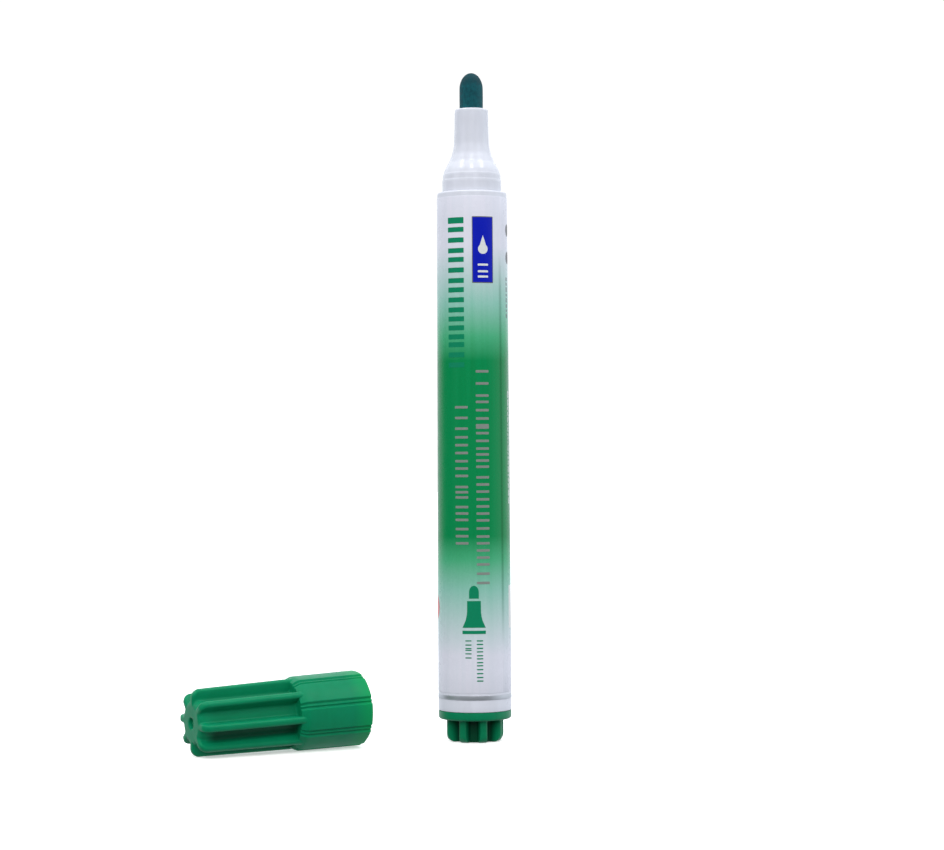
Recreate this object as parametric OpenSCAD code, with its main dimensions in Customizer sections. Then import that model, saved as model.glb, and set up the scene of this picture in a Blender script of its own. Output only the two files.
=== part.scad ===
// Bullet-tip whiteboard marker standing on its end plug, with the cap off and lying beside it.
// Origin: centre of the end plug's flat foot. +Z runs up the marker to the nib.

/* [Barrel] */
// radius of the barrel at its rear end
barrel_rear_r = 7.72; // [7:0.01:9]
// radius of the barrel at its front end
barrel_front_r = 7.35; // [6.9:0.01:9]
// height of the barrel's rear edge above the foot
barrel_z = 6.6; // [5:0.1:12]
// length of the barrel
barrel_len = 109.53; // [90:0.01:130]
// radius of the barrel's bore
bore_r = 6.75; // [6:0.01:7]
// thickness of the printed film
film_t = 0.08; // [0.05:0.01:0.2]
// height of the silver band's lower edge
band_z = 9.2; // [8:0.1:20]
// width of the silver band
band_w = 0.95; // [0.4:0.05:3]

/* [End plug] */
// radius of the circle the plug's ribs reach
plug_rib_r = 6.2; // [5:0.1:7.5]
// thickness of one plug rib
plug_rib_w = 1.6; // [1:0.1:2.5]
// height of the ribbed foot
plug_foot_h = 4.8; // [3:0.1:8]
// radius of the plug's flange
plug_flange_r = 7.7; // [7:0.05:9]
// length of the plug's spigot inside the barrel
spigot_len = 9.5; // [5:0.1:14]
// radial running clearance between spigot and barrel
spigot_gap = 0.06; // [0.01:0.01:0.1]

/* [Front section and nib] */
// radius of the seat that the cap grips
seat_r = 6.25; // [5.5:0.05:6.6]
// length of the seat
seat_len = 2.7; // [2:0.1:6]
// radius of the neck at its tip
neck_r = 3.51; // [3:0.01:5]
// length of the section ahead of the barrel
section_len = 17.8; // [14:0.1:24]
// radius of the bullet nib
nib_r = 2.5; // [1.5:0.05:3]
// length of nib standing out of the section
nib_out = 7.72; // [4:0.01:12]

/* [Ink reservoir] */
// radius of the fibre core
fibre_r = 5.8; // [4:0.1:6.2]
// length of the fibre core
fibre_len = 93; // [70:1:100]

/* [Cap] */
// overall length of the cap
cap_len = 37.4; // [34:0.1:44]
// length of the smooth collar at the cap's mouth
collar_len = 15.9; // [12:0.1:20]
// radius of the collar at its mouth, over the middle of a panel
collar_r = 7.7; // [7.2:0.05:8.5]
// radius of the collar at its back, over the middle of a panel
collar_back_r = 7.55; // [7.2:0.05:8.5]
// radius the ribs reach next to the collar
rib_front_r = 7.35; // [6.5:0.05:8]
// radius the ribs reach at the closed end
rib_end_r = 6.95; // [6:0.05:8]
// thickness of one cap rib
rib_w = 1.5; // [1:0.1:2.5]
// radius of the tube between the ribs
core_r = 4.7; // [4.4:0.05:5.5]
// radius of the mouth bore
mouth_r = 6.3; // [5.6:0.05:6.7]
// length of the mouth bore that grips the seat
mouth_len = 8; // [4:0.1:9]
// depth of the wide space in the collar
mouth_depth = 14.2; // [10:0.1:15]

/* [Lying cap] */
// distance from the marker to the lying cap's mouth, sideways
lie_x = -24.7; // [-60:0.1:-16]
// distance from the marker to the lying cap's mouth, front to back
lie_y = -8.2; // [-60:0.1:60]
// turn of the lying cap away from the side direction
lie_turn = 29.5; // [-90:0.1:90]
// roll of the lying cap about its own axis
lie_roll = -5.5; // [-22.5:0.1:22.5]

/* [Hidden] */
ribs = 8;
step = 360 / ribs;
cap_rib_angle = 0;
plug_rib_angle = -72;
barrel_top = barrel_z + barrel_len;
barrel_slope = (barrel_rear_r - barrel_front_r) / barrel_len;
section_top = barrel_top + section_len;
nib_top = section_top + nib_out;
fibre_z = barrel_z + spigot_len + 1.5;
fibre_top = fibre_z + fibre_len;
wrap_r = fibre_r + 0.15;
seal_out_r = 4.1;
seal_in_r = 3.76;
seal_z = 10.3;
seal_top = 27.4;
cap_in_r = 4.12;
panel_r = 13;
collar_bevel = 1.5;
collar_edge_z = collar_len - collar_bevel;
collar_lean = atan((collar_r - collar_back_r) / collar_edge_z);
cap_end_round = 1.8;
core_end_round = 1.35;
collar_low = panel_r - (panel_r - collar_back_r) * cos(lie_roll);
// the lying cap touches the table with its collar's back edge and its rib ends
lie_lean = atan((collar_low - rib_end_r) / (cap_len - cap_end_round - collar_edge_z));
lie_z = collar_edge_z * sin(lie_lean) + collar_low * cos(lie_lean);

function barrel_at(z) = barrel_rear_r - (z - barrel_z) * barrel_slope;

// plates of one width standing radially around the Z axis
module rib_plates(count, width, reach, height, turn) {
  for (i = [0 : count - 1])
    rotate([0, 0, turn + i * 360 / count])
      translate([0, -width / 2, 0])
        cube([reach, width, height]);
}

module end_plug() {
  flange_top = barrel_z;
  round_r = 1.5;
  color([0.09, 0.5, 0.31])
  difference() {
    union() {
      // ribbed foot, its ribs trimmed to a round-cornered outline
      intersection() {
        rib_plates(ribs, plug_rib_w, plug_rib_r + 1, plug_foot_h + 0.4, plug_rib_angle);
        rotate_extrude($fn = 64)
          union() {
            square([plug_rib_r - round_r, plug_foot_h + 0.4]);
            translate([0, round_r])
              square([plug_rib_r, plug_foot_h + 0.4 - round_r]);
            intersection() {
              translate([plug_rib_r - round_r, round_r])
                circle(r = round_r, $fn = 24);
              square([plug_rib_r, plug_foot_h]);
            }
          }
      }
      cylinder(r = 3.9, h = plug_foot_h + 0.4, $fn = 64);
      // flange with a rounded lower edge
      rotate_extrude($fn = 96)
        polygon([[0, plug_foot_h], [plug_flange_r - 0.5, plug_foot_h],
                 [plug_flange_r - 0.31, plug_foot_h + 0.04], [plug_flange_r - 0.15, plug_foot_h + 0.15],
                 [plug_flange_r - 0.04, plug_foot_h + 0.31], [plug_flange_r, plug_foot_h + 0.5],
                 [plug_flange_r, flange_top], [0, flange_top]]);
      // spigot that slides in the barrel's bore
      rotate_extrude($fn = 96)
        polygon([[0, flange_top - 0.2], [bore_r - spigot_gap, flange_top - 0.2],
                 [bore_r - spigot_gap, flange_top + spigot_len - 0.8],
                 [bore_r - spigot_gap - 0.5, flange_top + spigot_len], [0, flange_top + spigot_len]]);
    }
    // hollow inside the spigot, open towards the reservoir
    translate([0, 0, flange_top - 0.5])
      cylinder(r = bore_r - 1.25, h = spigot_len + 1, $fn = 64);
  }
}

module barrel() {
  color([0.86, 0.88, 0.92])
  rotate_extrude($fn = 96)
    polygon([[bore_r, barrel_z], [barrel_rear_r - 0.15, barrel_z], [barrel_rear_r, barrel_z + 0.2],
             [barrel_front_r, barrel_top - 0.35], [barrel_front_r - 0.12, barrel_top - 0.1],
             [barrel_front_r - 0.35, barrel_top], [bore_r, barrel_top]]);
}

// thin sleeve that follows the barrel's taper
module sleeve(low, high) {
  rotate_extrude($fn = 96)
    polygon([[barrel_at(low), low], [barrel_at(low) + film_t, low],
             [barrel_at(high) + film_t, high], [barrel_at(high), high]]);
}

module print_film() {
  color([0.3, 0.62, 0.45])
  sleeve(band_z + band_w + 0.5, barrel_top - 1.2);
}

module silver_band() {
  color([0.62, 0.66, 0.66])
  sleeve(band_z, band_z + band_w);
}

module front_section() {
  b = barrel_top;
  color([0.86, 0.88, 0.92])
  rotate_extrude($fn = 96)
    polygon([[6.1, b - 12.3], [6.5, b - 12.3], [bore_r, b - 11.3], [bore_r, b - 0.02],
             [seat_r, b], [seat_r, b + seat_len], [6.2, b + 3.3], [6.02, b + 3.97], [5.75, b + 4.77],
             [5.27, b + 5.77], [4.81, b + 6.57], [4.49, b + 7.37], [4.14, b + 8.27],
             [3.94, b + 9.12], [3.78, b + 9.97], [3.7, b + 10.77], [3.65, b + 12.47],
             [3.59, b + 14.17], [neck_r, section_top - 0.45], [neck_r - 0.13, section_top - 0.13],
             [neck_r - 0.45, section_top], [nib_r, section_top],
             [nib_r, b + 6.5], [3.6, b + 4.2], [5.2, b + 1], [5.2, b - 3.3], [6.1, b - 3.5]]);
}

module nib() {
  dome = 3.45;
  foot = fibre_top - 4;
  shoulder = nib_top - dome;
  color([0.1, 0.33, 0.37])
  union() {
    translate([0, 0, foot])
      cylinder(r = nib_r, h = shoulder - foot, $fn = 48);
    rotate_extrude($fn = 48)
      polygon([[0, shoulder - 0.5], [nib_r, shoulder - 0.5],
               for (i = [0 : 11]) [nib_r * cos(i * 7.5), shoulder + dome * sin(i * 7.5)],
               [0, nib_top]]);
  }
}

module ink_fibre() {
  color([0.12, 0.45, 0.36])
  difference() {
    translate([0, 0, fibre_z])
      cylinder(r = fibre_r, h = fibre_len, $fn = 48);
    translate([0, 0, fibre_top - 4])
      cylinder(r = nib_r, h = 5, $fn = 48);
  }
}

module fibre_wrap() {
  color([0.8, 0.85, 0.82])
  difference() {
    translate([0, 0, fibre_z])
      cylinder(r = wrap_r, h = fibre_len, $fn = 48);
    translate([0, 0, fibre_z - 1])
      cylinder(r = fibre_r, h = fibre_len + 2, $fn = 48);
  }
}

// carries a cap piece from its own frame (mouth at z = 0) to where it lies on the table
module lay_cap() {
  translate([lie_x, lie_y, lie_z])
    rotate([0, 0, lie_turn])
      rotate([0, -90 - lie_lean, 0])
        rotate([0, 0, lie_roll])
          children();
}

// collar blank: panels with a slight bulge, one on each rib, leaning in towards the back
module collar_blank() {
  intersection_for(i = [0 : ribs - 1])
    rotate([0, 0, cap_rib_angle + i * step])
      translate([collar_r - panel_r, 0, 0])
        rotate([0, -collar_lean, 0])
          translate([0, 0, -2])
            cylinder(r = panel_r, h = collar_len + 4, $fn = 180);
}

module cap_body() {
  end_round = cap_end_round;
  union() {
    // collar with narrow grooves between its panels
    intersection() {
      difference() {
        collar_blank();
        for (i = [0 : ribs - 1])
          rotate([0, 0, cap_rib_angle + (i + 0.5) * step])
            translate([collar_back_r - 0.12, -0.45, -1])
              cube([1, 0.9, collar_len + 2]);
      }
      rotate_extrude($fn = 96)
        polygon([[0, 0], [collar_r - 0.15, 0], [collar_r + 0.3, 0.45], [collar_r + 0.3, collar_edge_z],
                 [collar_back_r - 0.75, collar_len], [0, collar_len]]);
    }
    // tube behind the collar, closed by a round-edged end
    rotate_extrude($fn = 64)
      polygon([[0, collar_len - 0.5], [core_r, collar_len - 0.5], [core_r, cap_len - core_end_round],
               for (i = [1 : 8])
                 [core_r - core_end_round + core_end_round * cos(i * 11.25),
                  cap_len - core_end_round + core_end_round * sin(i * 11.25)],
               [0, cap_len]]);
    // ribs, trimmed to the tapered outline with a rounded end
    intersection() {
      translate([0, 0, collar_len - 2])
        rib_plates(ribs, rib_w, 9, cap_len - collar_len + 2, cap_rib_angle);
      rotate_extrude($fn = 96)
        polygon([[0, collar_len - 2], [rib_front_r, collar_len - 2], [rib_end_r, cap_len - end_round],
                 for (i = [1 : 8])
                   [rib_end_r - end_round + end_round * cos(i * 11.25),
                    cap_len - end_round + end_round * sin(i * 11.25)],
                 [0, cap_len]]);
    }
  }
}

module cap_shell() {
  color([0.09, 0.56, 0.35])
  lay_cap()
    difference() {
      cap_body();
      translate([0, 0, -0.5])
        cylinder(r = mouth_r, h = mouth_len + 0.5, $fn = 64);
      cylinder(r = mouth_r - 0.15, h = mouth_depth, $fn = 64);
      cylinder(r = cap_in_r, h = cap_len - 2, $fn = 64);
      // blind hole in the end, round the stub of the moulding gate
      translate([0, 0, cap_len - 0.9])
        difference() {
          cylinder(r = 1.15, h = 2, $fn = 32);
          translate([0, 0, -0.5])
            cylinder(r = 0.35, h = 1, $fn = 24);
        }
    }
}

module cap_seal() {
  color([0.9, 0.91, 0.9])
  lay_cap()
    rotate_extrude($fn = 64)
      polygon([[seal_in_r, seal_z], [seal_out_r, seal_z], [seal_out_r, mouth_depth - 1],
               [5.6, mouth_depth - 1], [5.6, mouth_depth], [seal_out_r, mouth_depth],
               [seal_out_r, seal_top], [0, seal_top], [0, seal_top - 0.8], [seal_in_r, seal_top - 0.8]]);
}

end_plug();
barrel();
print_film();
silver_band();
front_section();
nib();
ink_fibre();
fibre_wrap();
cap_shell();
cap_seal();
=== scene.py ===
import math
import random

import bmesh
import bpy
from mathutils import Matrix, Vector


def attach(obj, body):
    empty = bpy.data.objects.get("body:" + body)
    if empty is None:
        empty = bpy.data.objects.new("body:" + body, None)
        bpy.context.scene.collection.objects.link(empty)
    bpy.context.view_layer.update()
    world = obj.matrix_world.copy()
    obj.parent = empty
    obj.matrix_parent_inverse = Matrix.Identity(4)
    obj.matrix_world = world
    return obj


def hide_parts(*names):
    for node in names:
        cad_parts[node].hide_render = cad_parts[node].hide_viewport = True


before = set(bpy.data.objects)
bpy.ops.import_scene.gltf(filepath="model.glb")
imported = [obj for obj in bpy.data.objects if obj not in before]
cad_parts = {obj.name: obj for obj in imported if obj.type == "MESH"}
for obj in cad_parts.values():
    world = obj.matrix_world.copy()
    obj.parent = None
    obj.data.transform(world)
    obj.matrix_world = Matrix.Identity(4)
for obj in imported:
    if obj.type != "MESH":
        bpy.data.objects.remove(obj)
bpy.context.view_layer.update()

MM = 0.001
TAU = 2.0 * math.pi
SEAM_ANGLE = 50.6   # the film's overlap, in degrees to the right of the front
RIBS = 8

# ---------------------------------------------------------------- sizes in mm, as in the CAD model
BARREL_Z, BARREL_TOP = 6.6, 116.13
BARREL_REAR_R, BARREL_FRONT_R = 7.72, 7.35
BORE_R = 6.75
FILM_T = 0.08
FILM_LOW, FILM_HIGH = 10.65, 114.93
OVERLAP_T = 0.035   # how far the film stands proud where it lies double
BAND_LOW, BAND_HIGH = 9.2, 10.15
SEAT_R, SECTION_TOP = 6.25, 133.93
NIB_R, NIB_TOP, NIB_DOME = 2.5, 141.65, 3.45
FIBRE_Z, FIBRE_TOP, FIBRE_R = 17.6, 110.6, 5.8
PLUG_RIB_R, PLUG_CORE_R, PLUG_RIB_W = 6.2, 3.9, 1.6
PLUG_FOOT_H, PLUG_FLANGE_R = 4.8, 7.7
PLUG_TURN = math.radians(-72)
SPIGOT_LEN, SPIGOT_R = 9.5, BORE_R - 0.06
CAP_LEN, COLLAR_LEN, COLLAR_EDGE = 37.4, 15.9, 14.4
COLLAR_R, COLLAR_BACK_R = 7.7, 7.55
RIB_FRONT_R, RIB_END_R, RIB_W, CAP_CORE_R = 7.35, 6.95, 1.5, 4.7
CAP_END_ROUND, CORE_END_ROUND = 1.8, 1.35
CAP_TIP_C, CAP_FILLET = 0.62, 0.55
MOUTH_R, MOUTH_LEN, MOUTH_DEPTH, CAP_IN_R = 6.3, 8.0, 14.2, 4.12
SEAL_IN_R, SEAL_OUT_R, SEAL_Z, SEAL_TOP = 3.76, 4.1, 10.3, 27.4
PANEL_R = 13.0      # radius of the curve of one collar panel
LIE_X, LIE_Y, LIE_TURN, LIE_ROLL = -24.7, -8.2, math.radians(29.5), math.radians(-5.5)
# the lying cap rests on its collar's back edge and on a rib's end
COLLAR_LOW = PANEL_R - (PANEL_R - COLLAR_BACK_R) * math.cos(LIE_ROLL)
LIE_LEAN = math.atan((COLLAR_LOW - RIB_END_R) / (CAP_LEN - CAP_END_ROUND - COLLAR_EDGE))
LIE_Z = COLLAR_EDGE * math.sin(LIE_LEAN) + COLLAR_LOW * math.cos(LIE_LEAN)

LAY_CAP = (
    Matrix.Translation(Vector((LIE_X, LIE_Y, LIE_Z)) * MM)
    @ Matrix.Rotation(LIE_TURN, 4, "Z")
    @ Matrix.Rotation(-math.pi / 2 - LIE_LEAN, 4, "Y")
    @ Matrix.Rotation(LIE_ROLL, 4, "Z")
)


def barrel_r(z):
    """Radius of the barrel's own wall at height z."""
    f = (z - BARREL_Z) / (BARREL_TOP - BARREL_Z)
    return BARREL_REAR_R + (BARREL_FRONT_R - BARREL_REAR_R) * f


def front_angle(degrees):
    """Angle in the XY plane of a spot that many degrees to the right of the front."""
    return math.radians(degrees - 90.0)


# ---------------------------------------------------------------- camera
CAMERA_PLACE = (-0.00027, -0.527, 0.062)
CAMERA_LENS, CAMERA_PITCH, CAMERA_ROLL = 94.69, 0.53, -0.37   # mm, degrees


def make_camera():
    data = bpy.data.cameras.new("camera")
    data.lens = CAMERA_LENS
    data.sensor_width = 36.0
    data.clip_start = 0.01
    data.clip_end = 20.0
    cam = bpy.data.objects.new("camera", data)
    bpy.context.scene.collection.objects.link(cam)
    pitch = Matrix.Rotation(math.radians(90 + CAMERA_PITCH), 4, "X")
    roll = Matrix.Rotation(math.radians(CAMERA_ROLL), 4, "Z")
    cam.matrix_world = Matrix.Translation(CAMERA_PLACE) @ pitch @ roll
    bpy.context.scene.camera = cam


make_camera()
bpy.context.scene.view_settings.view_transform = "Standard"


# ---------------------------------------------------------------- mesh helpers
def finish_mesh(name, bm, body, material, nodes=(), sharp=32, matrix=None):
    """Turns a bmesh in mm into an object that rides on a body."""
    bmesh.ops.remove_doubles(bm, verts=bm.verts, dist=1e-5)
    bmesh.ops.recalc_face_normals(bm, faces=bm.faces)
    bmesh.ops.scale(bm, vec=(MM, MM, MM), verts=bm.verts)
    if matrix is not None:
        bmesh.ops.transform(bm, matrix=matrix, verts=bm.verts)
    mesh = bpy.data.meshes.new(name)
    bm.to_mesh(mesh)
    bm.free()
    mesh.shade_smooth()
    mesh.set_sharp_from_angle(angle=math.radians(sharp))
    obj = bpy.data.objects.new(name, mesh)
    bpy.context.scene.collection.objects.link(obj)
    mesh.materials.append(material)
    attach(obj, body)
    if nodes:
        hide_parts(*nodes)
    return obj


def loft(rings, closed=False):
    """Skin over rings of equal length; a ring of one point is a pole.

    With closed, the last ring is joined to the first.
    """
    bm = bmesh.new()
    made = [[bm.verts.new(p) for p in ring] for ring in rings]
    if closed:
        made.append(made[0])
    for a, b in zip(made, made[1:]):
        count = max(len(a), len(b))
        if count == 1:
            continue
        for i in range(count):
            j = (i + 1) % count
            if len(a) == 1:
                bm.faces.new((a[0], b[i], b[j]))
            elif len(b) == 1:
                bm.faces.new((a[i], b[0], a[j]))
            else:
                bm.faces.new((a[i], b[i], b[j], a[j]))
    return bm


def circle_ring(r, z, count=160):
    return [(r * math.cos(TAU * i / count), r * math.sin(TAU * i / count), z) for i in range(count)]


def turned(profile, count=160, closed=True):
    """Lathed skin. profile is (r, z) in mm; r = 0 is a pole; a profile with no pole closes on itself."""
    rings = [[(0.0, 0.0, z)] if r < 1e-9 else circle_ring(r, z, count) for r, z in profile]
    return loft(rings, closed and len(rings[0]) > 1)


def arc(cx, cz, r, a0, a1, n):
    """Points of an arc in (r, z), angles in degrees."""
    out = []
    for i in range(n + 1):
        a = math.radians(a0 + (a1 - a0) * i / n)
        out.append((cx + r * math.cos(a), cz + r * math.sin(a)))
    return out


def smooth_curve(points, steps=6):
    """Catmull-Rom curve through (r, z) points."""
    out = []
    for i in range(len(points) - 1):
        p0 = points[max(i - 1, 0)]
        p1, p2 = points[i], points[i + 1]
        p3 = points[min(i + 2, len(points) - 1)]
        for s in range(steps):
            t = s / steps
            out.append(tuple(
                0.5 * (2 * b + (c - a) * t + (2 * a - 5 * b + 4 * c - d) * t * t
                       + (3 * b - a - 3 * c + d) * t ** 3)
                for a, b, c, d in zip(p0, p1, p2, p3)
            ))
    out.append(points[-1])
    return out


def soft_min(a, b, k):
    h = max(0.0, min(1.0, 0.5 + 0.5 * (b - a) / k))
    return b + (a - b) * h - k * h * (1 - h)


def soft_max(a, b, k):
    return -soft_min(-a, -b, k)


# ---------------------------------------------------------------- ribbed sections
RIDGE_R = 7.6   # radius at which a collar's ridge and grooves are measured
# distances from the middle of a valley, in mm at that radius
VALLEY_STEPS = (2.1, 1.7, 1.35, 1.05, 0.8, 0.62, 0.5, 0.43, 0.36, 0.29, 0.22, 0.16, 0.1, 0.05, 0.0)


def half_star(r_tip, r_core, width, tip_c, fillet):
    """Outline of half a rib and half a valley: points from the rib's middle to the valley's middle."""
    h = width / 2
    pts = []
    for i in range(3):
        y = (h - tip_c) * i / 3
        pts.append((math.sqrt(r_tip * r_tip - y * y), y))
    for i in range(6):
        a = math.radians(90 * i / 5)
        pts.append((r_tip - tip_c + tip_c * math.cos(a), h - tip_c + tip_c * math.sin(a)))
    xc = math.sqrt((r_core + fillet) ** 2 - (h + fillet) ** 2)
    x0 = r_tip - tip_c
    for i in range(1, 4):
        pts.append((x0 + (xc - x0) * i / 4, h))
    beta = math.atan2(h + fillet, xc)
    for i in range(6):
        a = -math.pi / 2 + (beta - math.pi / 2) * i / 5
        pts.append((xc + fillet * math.cos(a), h + fillet + fillet * math.sin(a)))
    # across the valley, closest together where a collar has its ridge and grooves
    far = VALLEY_STEPS[0]
    for back in VALLEY_STEPS:
        a = math.pi / RIBS - back / RIDGE_R
        if a <= beta + 0.01:
            a = beta + (far - back) / 40
        pts.append((r_core * math.cos(a), r_core * math.sin(a)))
    return pts


def polar_star(r_tip, r_core, width, tip_c, fillet, turn=0.0):
    """Full outline as (angle, radius) pairs, always the same number in the same order."""
    points = half_star(r_tip, r_core, width, tip_c, fillet)
    half = [(math.atan2(y, x), math.hypot(x, y)) for x, y in points]
    out = []
    step = TAU / RIBS
    for k in range(RIBS):
        base = turn + k * step
        out += [(base - a, r) for a, r in reversed(half[1:-1])]
        out += [(base + a, r) for a, r in half]
    return out


def as_ring(polar, z):
    return [(r * math.cos(a), r * math.sin(a), z) for a, r in polar]


def round_ring(angles, r, z):
    """Round ring with the same angles as the ribbed ones."""
    return as_ring([(a, r) for a in angles], z)


# ---------------------------------------------------------------- materials
def lin(c):
    c = c / 255.0
    return c / 12.92 if c <= 0.04045 else ((c + 0.055) / 1.055) ** 2.4


ALBEDO, GLOSS = 1.05, 0.008
DARKEST, LIGHTEST = 0.0012, 0.9
TINT = (0.93, 0.985, 1.05)   # colour of the daylight tent


def rgb(r, g, b):
    """Surface colour for a colour as lit, less the share of white that the gloss adds."""
    bare = [(lin(c) / t - GLOSS) * ALBEDO for c, t in zip((r, g, b), TINT)]
    return tuple(min(max(c, DARKEST), LIGHTEST) for c in bare) + (1.0,)


class Shader:
    """A Principled material with helpers for its colour, roughness and bump."""

    def __init__(self, name, base, rough, spec=0.4, metal=0.0, sss=0.0, sss_radius=(0.6, 1.0, 0.7)):
        self.mat = bpy.data.materials.new(name)
        self.mat.use_nodes = True
        self.nt = self.mat.node_tree
        self.bsdf = self.nt.nodes["Principled BSDF"]
        b = self.bsdf.inputs
        b["Base Color"].default_value = base
        b["Roughness"].default_value = rough
        b["Metallic"].default_value = metal
        b["Specular IOR Level"].default_value = spec
        b["IOR"].default_value = 1.49
        if sss:
            b["Subsurface Weight"].default_value = sss
            b["Subsurface Radius"].default_value = sss_radius
            b["Subsurface Scale"].default_value = 0.0012
        coords = self.nt.nodes.new("ShaderNodeTexCoord")
        self.coord = coords.outputs["Object"]
        self.height = None

    def node(self, kind, **values):
        n = self.nt.nodes.new(kind)
        for key, value in values.items():
            setattr(n, key, value)
        return n

    def link(self, a, b):
        self.nt.links.new(a, b)

    def calc(self, operation, *values):
        """Math node over sockets and plain numbers."""
        n = self.node("ShaderNodeMath", operation=operation)
        for value, socket in zip(values, n.inputs):
            if isinstance(value, float):
                socket.default_value = value
            else:
                self.link(value, socket)
        return n.outputs[0]

    def along(self, vector, direction):
        """How far a vector socket reaches along a fixed direction."""
        n = self.node("ShaderNodeVectorMath", operation="DOT_PRODUCT")
        self.link(vector, n.inputs[0])
        n.inputs[1].default_value = direction
        return n.outputs["Value"]

    def up(self):
        """Height above the foot."""
        split = self.node("ShaderNodeSeparateXYZ")
        self.link(self.coord, split.inputs[0])
        return split.outputs["Z"]

    def noise(self, scale, stretch=(1, 1, 1), detail=4.0, rough=0.55):
        mapping = self.node("ShaderNodeMapping")
        mapping.inputs["Scale"].default_value = stretch
        self.link(self.coord, mapping.inputs["Vector"])
        n = self.node("ShaderNodeTexNoise")
        n.inputs["Scale"].default_value = scale
        n.inputs["Detail"].default_value = detail
        n.inputs["Roughness"].default_value = rough
        self.link(mapping.outputs["Vector"], n.inputs["Vector"])
        return n.outputs["Fac"]

    def remap(self, value, low, high, from_low=0.3, from_high=0.7):
        m = self.node("ShaderNodeMapRange")
        m.inputs["From Min"].default_value = from_low
        m.inputs["From Max"].default_value = from_high
        m.inputs["To Min"].default_value = low
        m.inputs["To Max"].default_value = high
        self.link(value, m.inputs["Value"])
        return m.outputs["Result"]

    def mix(self, fac, a, b, mode="MIX"):
        m = self.node("ShaderNodeMix", data_type="RGBA", blend_type=mode)
        if isinstance(fac, float):
            m.inputs["Factor"].default_value = fac
        else:
            self.link(fac, m.inputs["Factor"])
        for value, socket in ((a, m.inputs[6]), (b, m.inputs[7])):
            if isinstance(value, tuple):
                socket.default_value = value
            else:
                self.link(value, socket)
        return m.outputs[2]

    def colour(self, out):
        self.link(out, self.bsdf.inputs["Base Color"])

    def roughness(self, out):
        self.link(out, self.bsdf.inputs["Roughness"])

    def bump(self, height, distance, strength=1.0):
        b = self.node("ShaderNodeBump")
        b.inputs["Strength"].default_value = strength
        b.inputs["Distance"].default_value = distance
        self.link(height, b.inputs["Height"])
        if self.height is not None:
            self.link(self.height, b.inputs["Normal"])
        self.height = b.outputs["Normal"]
        self.link(self.height, self.bsdf.inputs["Normal"])


def scaled(c, k):
    return (min(c[0] * k, 1.0), min(c[1] * k, 1.0), min(c[2] * k, 1.0), 1.0)


SKIN_BUMP, FLOW_BUMP = 0.000005, 0.00001


def from_axis(s, lay):
    """How far a point is along the axis that a matrix lays, and the square of its distance from it."""
    offset = s.node("ShaderNodeVectorMath", operation="SUBTRACT")
    s.link(s.coord, offset.inputs[0])
    offset.inputs[1].default_value = lay.translation
    depth = s.along(offset.outputs["Vector"], lay.to_3x3() @ Vector((0.0, 0.0, 1.0)))
    span = s.node("ShaderNodeVectorMath", operation="LENGTH")
    s.link(offset.outputs["Vector"], span.inputs[0])
    reach = span.outputs["Value"]
    return depth, s.calc("SUBTRACT", s.calc("MULTIPLY", reach, reach), s.calc("MULTIPLY", depth, depth))


def valley_tone(s, tone, base, cavity, under, glow):
    """Darkens the valleys between the ribs, which hold less light.

    cavity is the axis matrix, the radii in mm where the shade is full and where it ends, the height in mm
    where it stops (0 for nowhere) and the shade. under is the shade on the table side, glow the colour of
    light that comes through the thin wall near the mouth.
    """
    lay, low, high, stop, shade = cavity
    depth, gap = from_axis(s, lay)
    inner = s.remap(gap, 1.0, 0.0, (low * MM) ** 2, (high * MM) ** 2)
    if stop:
        inner = s.calc("MULTIPLY", inner, s.remap(depth, 1.0, 0.0, (stop - 2.0) * MM, stop * MM))
    tone = s.mix(inner, tone, scaled(base, shade))
    if under is not None:
        table_side = s.calc("MULTIPLY", inner, s.remap(s.up(), 1.0, 0.0, 4.9 * MM, 7.0 * MM))
        tone = s.mix(table_side, tone, scaled(base, under))
    if glow is not None:
        tone = s.mix(s.remap(depth, 1.0, 0.0, 0.5 * MM, 4.5 * MM), tone, glow)
    return tone


def moulded_plastic(name, base, rough=0.32, spec=0.25, sss=0.0, sss_radius=(0.6, 1.0, 0.7), wear=0.06,
                    skin=1.0, glow=None, cavity=None, under=None):
    """Injection-moulded plastic: faint flow marks, uneven sheen, a fine skin and rubbed spots."""
    s = Shader(name, base, rough, spec=spec, sss=sss, sss_radius=sss_radius)
    flow_marks = s.noise(420, stretch=(1, 1, 0.15), detail=5.0)
    cloud = s.noise(90, detail=3.0)
    tone = s.mix(s.remap(flow_marks, 0.0, 1.0), scaled(base, 0.93), scaled(base, 1.06))
    tone = s.mix(s.remap(cloud, 0.0, 0.5), tone, scaled(base, 0.97))
    rubbed = s.noise(650, detail=6.0, rough=0.7)
    if cavity is not None:
        tone = valley_tone(s, tone, base, cavity, under, glow)
    s.colour(s.mix(s.remap(rubbed, 0.0, wear, 0.6, 0.75), tone, scaled(base, 1.35)))
    s.roughness(s.remap(s.noise(300, detail=6.0), rough - 0.05, rough + 0.08))
    s.bump(s.noise(2600, detail=2.0), SKIN_BUMP * skin)
    s.bump(flow_marks, FLOW_BUMP * skin)
    return s.mat


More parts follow.
